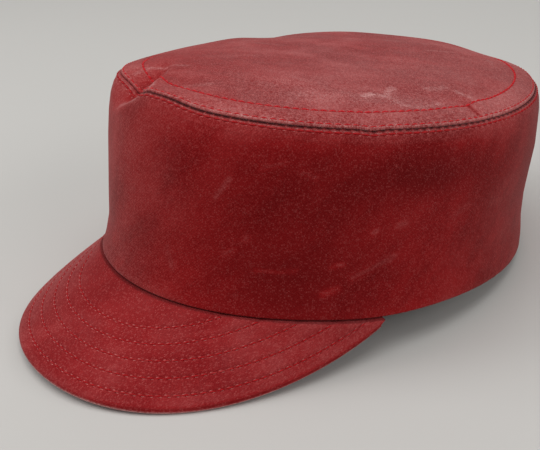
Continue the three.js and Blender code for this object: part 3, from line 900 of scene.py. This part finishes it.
# The upper face curls up to the rim by a lip, lower at the front, where the two gape.
PEAK_LIP = 1.2
PEAK_LIP_WIDTH = 4.0
PEAK_GAPE = (4, 20, 0.75)

# Sections across the peak, rows over each face and round the edge, and points that stand for the edge.
PEAK_COLUMNS = 430
PEAK_FACE_ROWS = 96
PEAK_EDGE_ROWS = 16
PEAK_EDGE_POINTS = 1400
NUDGE = 1e-3

# Millimetres of cloth, for the weave: per unit of turn, then where the parts of a section begin.
PEAK_CLOTH_PER_TURN = 92.0
PEAK_CLOTH_FRONT = -6.0
PEAK_CLOTH_EDGE = 42.0
PEAK_CLOTH_ROUND_EDGE = 4.0
PEAK_CLOTH_BELOW = 90.0
PEAK_CLOTH_BACK = 96.0

# Dyes of the peak, and bells of its wear and painted light: blooms round it, one partly painted light,
# its rubbed edge, a pale line round its fold that is partly rub and partly painted highlight, painted
# shade by the rim and along the edge on the wearer's left, and painted shade where it meets the rim and
# inside. Steps are by middle and width.
PEAK_DYES = ((0.20, 0.006, 0.008, 1), (0.272, 0.013, 0.015, 1))
# Blooms round the peak; the one at 68 degrees, on the corner in the crown's shade, is partly painted light.
PEAK_BLOOMS_AND_LIGHT = [(68, 14, 0.1), (-42, 20, 0.45)]
PEAK_EDGE_RUB = (0.2, 1.4, 0.1)
PEAK_FOLD_BLOOM = 0.08
# A pale line round the middle of the turned edge: partly rub, partly painted highlight.
PEAK_FOLD_RUB_AND_HIGHLIGHT = (0.43, 0.12, 3.5)
# Painted shade by the rim, and along the edge and the top of the fold on the wearer's left.
RIM_BROAD_SHADE = (2, 22, 0.16)
RIM_BROAD_SHADE_OUT = 12
LEFT_STEP = (26, 8)
LEFT_EDGE_SHADE = (0, 0.7, 0.3)
LEFT_FOLD_SHADE = (0.06, 0.14, 0.55)
RIM_SHADE = (0, 0.3, 0.5)
RIM_SHADE_STEP = (-34, 6)
PEAK_INSIDE_SHADE = 0.6


def on_peak(turn, out):
    """A point of the upper face: from the rim outwards, falling by a slope that grows with turn squared.

    The rim's sag fades out over the face as (1 - outreach / its reach) to a power."""
    slope = PEAK_SLOPE + PEAK_SLOPE_MORE_AT_CORNERS * (turn / PEAK_HALF_TURN) ** 2
    sag = rim_sag(turn) * np.maximum(0, 1 - out / PEAK_SAG_REACH) ** PEAK_SAG_FADE
    x, y = oval(RIM_LENGTH, RIM_WIDTH, turn)
    return np.stack([x + out * np.sin(PEAK_FAN * turn), y - out * np.cos(PEAK_FAN * turn),
                     -PEAK_DROP - slope * out - sag], -1)


def peak_reach(turn):
    """How far the peak reaches out: its depth times a blunt rounded arch over the turn."""
    share = np.abs(turn) / PEAK_HALF_TURN
    return PEAK_DEPTH * (1 - share ** PEAK_BLUNTNESS) ** (1 / PEAK_ROUNDNESS)


def peak_lip(turn, out):
    """How far the face curls up to the rim: a bell over the outreach, lower by another bell at the front."""
    return (PEAK_LIP - bells(np.degrees(turn), PEAK_GAPE)) * bell(out, PEAK_LIP_WIDTH)


def unit(vectors):
    """Vectors made one long."""
    return vectors / np.linalg.norm(vectors, axis=-1, keepdims=True)


def peak_normal(turn, out):
    """The upper face's normal: the cross product of its outward and its sideways direction."""
    sideways = on_peak(turn + NUDGE, out) - on_peak(turn - NUDGE, out)
    outwards = on_peak(turn, out + NUDGE) - on_peak(turn, out)
    return unit(np.cross(outwards, sideways))


def peak_columns():
    """The turns of the peak's sections, crowded towards its corners by a sine."""
    share = np.sin(np.pi / 2 * np.linspace(-1, 1, PEAK_COLUMNS + 1))
    return (PEAK_CORNER_SHARE * PEAK_HALF_TURN * share)[:, None]


def from_edge(points, edge):
    """Distance of each point from the nearest point of the edge, worked out one row of points at a time."""
    rows = [np.linalg.norm(row[:, None] - edge[None], axis=-1).min(1) for row in np.moveaxis(points, 1, 0)]
    return np.stack(rows, 1)


def peak_row_paths(out, edge_distance):
    """The stitch rows: at each turn, the outreach between two mesh rows where the edge is that far away.

    A turn where the row has run in under the rim is marked by an outreach below zero."""
    paths = []
    for distance in PEAK_ROWS_FROM_EDGE:
        inside = edge_distance >= distance
        after = np.clip(inside.sum(1) - 1, 0, edge_distance.shape[1] - 2)[:, None]
        between = np.concatenate([after, after + 1], 1)
        near, far = np.take_along_axis(edge_distance, between, 1).T
        near_out, far_out = np.take_along_axis(out, between, 1).T
        share = (near - distance) / np.maximum(near - far, 1e-9)
        reach = near_out * (1 - share) + far_out * share
        paths.append(np.where(inside[:, 0], reach, -1.0))
    return np.stack(paths)


def path_phase(turn, reach):
    """Stitches counted along one row from its first turn: its length in needle steps, whole at its end."""
    points = on_peak(turn, np.maximum(reach, 0))
    step = np.linalg.norm(np.diff(points, axis=0), axis=-1) * (reach[1:] >= 0) * (reach[:-1] >= 0)
    length = np.concatenate([[0], np.cumsum(step)])
    return length / length[-1] * np.round(length[-1] / STITCH_LENGTH)


def step_after(turn, middle, width):
    """0 before a middle in degrees and 1 after it: half of 1 plus a tanh."""
    return 0.5 + 0.5 * np.tanh((np.degrees(turn) - middle) / width)


def peak_pull(phase, row_off):
    """The needle's pull on the peak: a narrow bell on the nearest row, deeper at its holes."""
    return PEAK_NEEDLE_PULL * hole_pull(phase) * bell(row_off, PEAK_PULL_WIDTH)


def peak_wear_and_light(turn, out, distance):
    """Chalk and painted light on the peak's faces: bells for its blooms and its rubbed edge, less bells of
    painted shade by the rim and, on the wearer's left, along the edge."""
    degrees = np.degrees(turn)
    wear = bells(distance, PEAK_EDGE_RUB) + bells(degrees, *PEAK_BLOOMS_AND_LIGHT)
    wear = wear - bells(degrees, RIM_BROAD_SHADE) * bell(out, RIM_BROAD_SHADE_OUT)
    return wear - step_after(turn, *LEFT_STEP) * bells(distance, LEFT_EDGE_SHADE)


def fold_wear_and_light(turn, share):
    """Chalk and painted light round the peak's turned edge, by the share of the way down: a strong pale
    line in its middle, partly rub and partly painted highlight, and painted shade along its upper side
    on the wearer's left."""
    wear = PEAK_FOLD_BLOOM + bells(share, PEAK_FOLD_RUB_AND_HIGHLIGHT)
    return wear - step_after(turn, *LEFT_STEP) * bells(share, LEFT_FOLD_SHADE)


peak_turn = peak_columns()
face_share = np.linspace(0, 1, PEAK_FACE_ROWS)[None, :]
face_out = face_share * peak_reach(peak_turn)
edge_turn = np.linspace(-1, 1, PEAK_EDGE_POINTS) * PEAK_CORNER_SHARE * PEAK_HALF_TURN
peak_edge = on_peak(edge_turn, peak_reach(edge_turn))
edge_distance = from_edge(on_peak(peak_turn, face_out), peak_edge)
row_paths = peak_row_paths(face_out, edge_distance)
row_phases = np.stack([path_phase(peak_turn[:, 0], path) for path in row_paths])


def against_hem(depth, height):
    """A point of the peak's allowance, against the inner face of the hem and sagging with the rim."""
    share = np.maximum(0, height) / SEAM_HEIGHT_FRONT
    point = on_side(share, depth, peak_turn)
    point[..., 2] = height - rim_sag(peak_turn) * (1 - share)
    return point


def peak_section(front, upper, rolled, lower, back):
    """Values for the five parts of every section, one after the other, with the two end sections repeated."""
    columns = len(peak_turn)
    grid = np.concatenate([
        np.broadcast_to(front, (columns, 3)), upper, np.broadcast_to(rolled, (columns, PEAK_EDGE_ROWS)),
        lower, np.broadcast_to(back, (columns, 3)),
    ], 1)
    return np.concatenate([grid[:1], grid, grid[-1:]])


def peak_piece():
    """Sections of the peak: down the allowance, out over the face, round the edge, back below and up inside.

    The edge is half a circle, as thick as the peak. The two end sections are drawn to a point."""
    nearest = np.abs(edge_distance[..., None] - PEAK_ROWS_FROM_EDGE).argmin(-1)
    row_off = PEAK_ROWS_FROM_EDGE[nearest] - edge_distance
    phase = np.take_along_axis(row_phases.T, nearest, 1)
    pull = peak_pull(phase, row_off)[..., None]
    normal = peak_normal(peak_turn, face_out)
    face = on_peak(peak_turn, face_out)
    upper = face + (peak_lip(peak_turn, face_out)[..., None] - pull) * normal
    lower = (face - (PEAK_THICKNESS - pull) * normal)[:, ::-1]

    reach = peak_reach(peak_turn)
    half = PEAK_THICKNESS / 2
    along = (on_peak(peak_turn + NUDGE, peak_reach(peak_turn + NUDGE))
             - on_peak(peak_turn - NUDGE, peak_reach(peak_turn - NUDGE)))
    edge_normal = peak_normal(peak_turn, reach)
    off_edge = unit(np.cross(along, edge_normal))
    around = np.linspace(0, np.pi, PEAK_EDGE_ROWS + 2)[1:-1][None, :, None]
    rolled = on_peak(peak_turn, reach) + edge_normal * half * (np.cos(around) - 1)
    rolled = rolled + off_edge * half * np.sin(around)

    front_heights = np.array([*PEAK_ALLOWANCE_HEIGHTS, -GAP])[None, :]
    back_heights = np.array([-GAP - PEAK_ALLOWANCE_CLOTH, *PEAK_ALLOWANCE_HEIGHTS[::-1]])[None, :]
    front_face = against_hem(HEM_THICKNESS + GAP, front_heights)
    back_face = against_hem(HEM_THICKNESS + GAP + PEAK_ALLOWANCE_CLOTH, back_heights)
    sections = np.concatenate([front_face, upper, rolled, lower, back_face], 1)
    corner_foot = 0.5 * (front_face[:, 2] + back_face[:, 0])
    sections = np.concatenate([
        np.broadcast_to(corner_foot[:1, None], sections[:1].shape), sections,
        np.broadcast_to(corner_foot[-1:, None], sections[-1:].shape)])

    round_edge = np.linspace(0, 1, PEAK_EDGE_ROWS)
    outwards = peak_section(PEAK_CLOTH_FRONT, face_out, PEAK_CLOTH_EDGE + PEAK_CLOTH_ROUND_EDGE * round_edge,
                            PEAK_CLOTH_BELOW - face_out[:, ::-1], PEAK_CLOTH_BACK)
    sideways = np.concatenate([peak_turn[:1], peak_turn, peak_turn[-1:]]) * PEAK_CLOTH_PER_TURN
    cloth = np.stack([np.broadcast_to(sideways, outwards.shape), outwards], -1)
    phases = peak_section(0.0, phase, 0.0, phase[:, ::-1], 0.0)
    offs = peak_section(FAR_FROM_ROW, row_off, FAR_FROM_ROW, row_off[:, ::-1], FAR_FROM_ROW)
    # Wear with painted light and painted shade, on the faces and round the edge.
    wear = peak_wear_and_light(peak_turn, face_out, edge_distance)
    worn = peak_section(HIDDEN_WEAR, wear, fold_wear_and_light(peak_turn, round_edge), wear[:, ::-1], HIDDEN_WEAR)
    # Painted shade where the upper face meets the rim, and on the allowance inside.
    shade = step_after(peak_turn, *RIM_SHADE_STEP) * bells(face_out, RIM_SHADE)
    ditch = peak_section(PEAK_INSIDE_SHADE, shade, 0.0, np.zeros(face_out.shape), PEAK_INSIDE_SHADE)
    grids = (standing(sections), cloth, np.stack([phases, offs], -1), worn, ditch)
    closed = [np.concatenate([grid, grid[:, :1]], 1) for grid in grids]
    return sewn_skin("peak_canvas", *closed, ends=True)


peak = peak_piece()
peak_canvas = waxed_canvas("peak_canvas", bloom=0.07, tooth=0.48, puckering=0.95, dyes=PEAK_DYES)
peak.data.materials.append(peak_canvas)
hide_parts("peak")
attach(peak, "root")


# The threads: red polyester sewing thread, half a millimetre thick, in lockstitch about 3.2 mm long.
# Two rows hold the seam round the top, one holds the strip down inside, and five quilt the peak.
THREAD_WIDE = 0.27
THREAD_HIGH = 0.22
THREAD_SIDES = 6
THREAD_BRIGHT = (0.54, 0.002, 0.008, 1)
THREAD_DEEP = (0.40, 0.0008, 0.004, 1)
PLY_CELLS = 2600
PLY_SHADE = 0.65
PLIES = (0.35, 0.65)
FADE_CELLS = 130
FADED = (0.5, 0.8)
FADED_SHARE = 0.1

# One stitch from end to end: the share of a needle step that it fills, then by station how high it stands,
# how much of the dip it takes and how thick it is.
STITCH_FILL = 0.94
STITCH_LIFT = np.array([0.0, 0.08, 0.14, 0.08, 0.0])
STITCH_DIP = np.array([1.0, 0.0, 0.0, 0.0, 1.0])
STITCH_TAPER = np.array([0.5, 0.95, 1.0, 0.95, 0.5])

# The peak's upper rows: thickness, dip, and how far they sink into the cloth on the wearer's right.
PEAK_THREAD_THICK = 1.25
PEAK_THREAD_DIP = 0.1
PEAK_ROW_SUNK = 0.15
PEAK_ROW_SUNK_UP_TO = (-27.0, 6)


def stitch_stations(count):
    """Places along a row where stitches are drawn, in needle steps: five stations spread over each stitch."""
    spread_out = (np.linspace(0, 1, len(STITCH_LIFT)) - 0.5) * STITCH_FILL
    return np.arange(count)[:, None] + 0.5 + spread_out[None, :]


def lay_stitches(name, points, normals, material, thick=1.0, dip=0.2):
    """Stitches as closed tubes: an ellipse carried along each one, tapered and sunk at both ends."""
    along = unit(np.gradient(points, axis=1))
    across = unit(np.cross(normals, along))
    angle = np.linspace(0, 2 * np.pi, THREAD_SIDES, endpoint=False)
    taper = thick * STITCH_TAPER[None, :, None, None]
    wide = THREAD_WIDE * taper * np.cos(angle)[None, None, :, None]
    high = THREAD_HIGH * taper * np.sin(angle)[None, None, :, None]
    middle = points + (STITCH_LIFT - dip * STITCH_DIP)[None, :, None] * normals
    rings = middle[:, :, None] + across[:, :, None] * wide + normals[:, :, None] * high
    stitches, stations = points.shape[:2]
    vertex = np.arange(stitches * stations * THREAD_SIDES).reshape(stitches, stations, THREAD_SIDES)
    beside = np.roll(vertex, -1, 2)
    quads = np.stack([vertex[:, :-1], vertex[:, 1:], beside[:, 1:], beside[:, :-1]], -1).reshape(-1, 4)
    caps = np.concatenate([vertex[:, 0], vertex[:, -1, ::-1]])
    piece = new_piece(name, standing(rings), quads.tolist() + caps.tolist())
    piece.data.materials.append(material)
    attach(piece, "root")


def red_thread(name, colour):
    """Sewing thread: a bright red mottled finely along its plies, a little faded, smooth enough to shine."""
    material, tree, shader, place = new_material(name)
    plies = mottle(tree, place, PLY_CELLS, 2)
    fade = mottle(tree, place, FADE_CELLS, 2)
    dark = tuple(PLY_SHADE * channel for channel in colour[:3]) + (1,)
    ply_red = tint(tree, ramp(tree, plies, *PLIES), dark, colour)
    faded = tint(tree, times(tree, ramp(tree, fade, *FADED), FADED_SHARE), ply_red, CHALK)
    tree.links.new(faded, shader.inputs["Base Color"])
    shader.inputs["Roughness"].default_value = 0.55
    shader.inputs["Specular IOR Level"].default_value = 0.2
    roughen(tree, shader, plies, 0.4, 0.1 * MM)
    return material


def turn_at(phase, count, counted):
    """The turn at a number of stitches along a row, read back from that row's own count."""
    steps = np.linspace(0, 2 * np.pi, 2 * OVAL_STEPS - 1)
    return np.interp(np.mod(phase, count), counted(steps), steps)


def surface_normal(surface, first, turn):
    """The outward normal of a surface: the cross product of its steps along both parameters."""
    sideways = surface(first, turn + NUDGE) - surface(first, turn - NUDGE)
    upwards = surface(first + NUDGE, turn) - surface(first - NUDGE, turn)
    return unit(np.cross(sideways, upwards))


def side_face(below, turn):
    """The side's outer face by distance below the seam."""
    seam = seam_height(*oval(SEAM_LENGTH, SEAM_WIDTH, turn))
    return on_side(1 - below / seam, 0.0, turn)


def top_face(inset, turn):
    """The top's upper face by its inset from the seam."""
    return on_top(inset, top_lift(inset, turn) - tight_row(inset, turn), turn)


bright_thread = red_thread("bright_thread", THREAD_BRIGHT)
deep_thread = red_thread("deep_thread", THREAD_DEEP)

# The crown's rows: name, face, place on the face, stitches and their count by the turn, which way the face's
# normal is turned, then the thread, its thickness, how far it is sunk and how far its ends dip.
CROWN_ROWS = [
    ("thread_side", side_face, SIDE_ROW_BELOW_SEAM, SEAM_STITCHES, seam_phase, -1,
     deep_thread, 1.55, 0.0, 0.14),
    ("thread_strip", top_face, STRIP_ROW, SEAM_STITCHES, seam_phase, 1,
     bright_thread, 1.0, 0.08, 0.08),
    ("thread_inner", top_face, INNER_ROW, INNER_STITCHES, inner_phase, 1,
     bright_thread, 1.8, 0.0, 0.08),
]
for name, surface, offset, count, counted, facing, thread, thick, sunk, dip in CROWN_ROWS:
    turns = turn_at(stitch_stations(count), count, counted)
    normals = facing * surface_normal(surface, np.full(turns.shape, offset), turns)
    middles = surface(offset, turns) - sunk * normals
    lay_stitches(name, middles, normals, thread, thick, dip)

for number, (path, phase) in enumerate(zip(row_paths, row_phases)):
    shown = path >= 0
    stations = stitch_stations(int(np.round(phase.max())))
    turns = np.interp(stations, phase[shown], peak_turn[shown, 0])
    outs = np.interp(turns, peak_turn[shown, 0], path[shown])
    normals = peak_normal(turns, outs)
    face = on_peak(turns, outs)
    holes = peak_pull(stations, 0.0)
    sunk = PEAK_ROW_SUNK * (1 - step_after(turns, *PEAK_ROW_SUNK_UP_TO))
    above = face + (peak_lip(turns, outs) - holes - sunk)[..., None] * normals
    below = face - (PEAK_THICKNESS - holes)[..., None] * normals
    lay_stitches(f"thread_peak_{number}", above, normals, deep_thread,
                 PEAK_THREAD_THICK, PEAK_THREAD_DIP)
    lay_stitches(f"thread_under_peak_{number}", below, -normals, deep_thread)


# The floor, light and camera: a plain pale floor, soft light from five round panels and from all round,
# and a camera at the photograph's angle and distance, which are given round the upright cap in millimetres.
FLOOR_HALF = 6.0
FLOOR_PALE = (0.55, 0.54, 0.52, 1)
FLOOR_SHADE = (0.5, 0.49, 0.47, 1)
FLOOR_CLOUDS = 6
FLOOR_CLOUD_SHARE = 0.1
FLOOR_CORNERS = FLOOR_HALF * np.array([(-1, -1, 0), (1, -1, 0), (1, 1, 0), (-1, 1, 0)])
floor = new_piece("floor", FLOOR_CORNERS, [(0, 1, 2, 3)])
floor_paint, floor_tree, floor_shader, floor_place = new_material("pale_floor")
floor_cloud = times(floor_tree, mottle(floor_tree, floor_place, FLOOR_CLOUDS, 3), FLOOR_CLOUD_SHARE)
floor_tone = tint(floor_tree, floor_cloud, FLOOR_PALE, FLOOR_SHADE)
floor_tree.links.new(floor_tone, floor_shader.inputs["Base Color"])
floor_shader.inputs["Roughness"].default_value = 0.9
floor_shader.inputs["Specular IOR Level"].default_value = 0.1
floor.data.materials.append(floor_paint)

world = bpy.data.worlds.new("studio")
world.use_nodes = True
world.node_tree.nodes["Background"].inputs["Color"].default_value = (1.0, 0.99, 0.97, 1)
world.node_tree.nodes["Background"].inputs["Strength"].default_value = 0.3
bpy.context.scene.world = world
bpy.context.scene.view_settings.view_transform = "Standard"

# The soft panels: name, place and aim in metres, metres across, watts.
SOFTBOXES = [
    ("overhead", (0.05, -0.15, 1.3), (0, 0, 0.05), 1.3, 9.6),
    ("front_left", (-0.9, -1.0, 0.8), (0, 0, 0.06), 0.8, 8.0),
    ("far_right", (1.3, 0.05, 0.7), (0, 0, 0.06), 0.7, 3.0),
    ("back_left", (-1.0, 1.1, 0.6), (0, 0, 0.08), 0.9, 2.0),
    ("right", (1.2, 0.9, 0.9), (0, 0, 0.06), 0.8, 4.0),
]
for name, place, aim, size, watts in SOFTBOXES:
    lamp = bpy.data.lights.new(name, "AREA")
    lamp.shape = "DISK"
    lamp.size = size
    lamp.energy = watts
    softbox = bpy.data.objects.new(name, lamp)
    softbox.location = place
    direction = softbox.location - Vector(aim)
    softbox.rotation_euler = direction.to_track_quat("Z", "Y").to_euler()
    softbox.visible_camera = False
    bpy.context.scene.collection.objects.link(softbox)

CAMERA_PLACE = (253.53, -236.06, 147.36)
CAMERA_AZIMUTH = np.radians(50.82)
CAMERA_ELEVATION = np.radians(23.35)
CAMERA_ROLL = np.radians(3.9)
CAMERA_LENS = 53.72
CAMERA_SENSOR = 36.0
camera_data = bpy.data.cameras.new("camera")
camera_data.sensor_fit = "HORIZONTAL"
camera_data.sensor_width = CAMERA_SENSOR
camera_data.lens = CAMERA_LENS
camera_data.clip_start = 0.01
camera = bpy.data.objects.new("camera", camera_data)
set_down = Matrix.Translation(STANDING_SHIFT * MM) @ Matrix.Rotation(-REST_TILT, 4, "X")
aimed = (Matrix.Rotation(CAMERA_AZIMUTH, 4, "Z") @ Matrix.Rotation(np.pi / 2 - CAMERA_ELEVATION, 4, "X")
         @ Matrix.Rotation(CAMERA_ROLL, 4, "Z"))
camera.matrix_world = set_down @ Matrix.Translation([MM * place for place in CAMERA_PLACE]) @ aimed
bpy.context.scene.collection.objects.link(camera)
bpy.context.scene.camera = camera
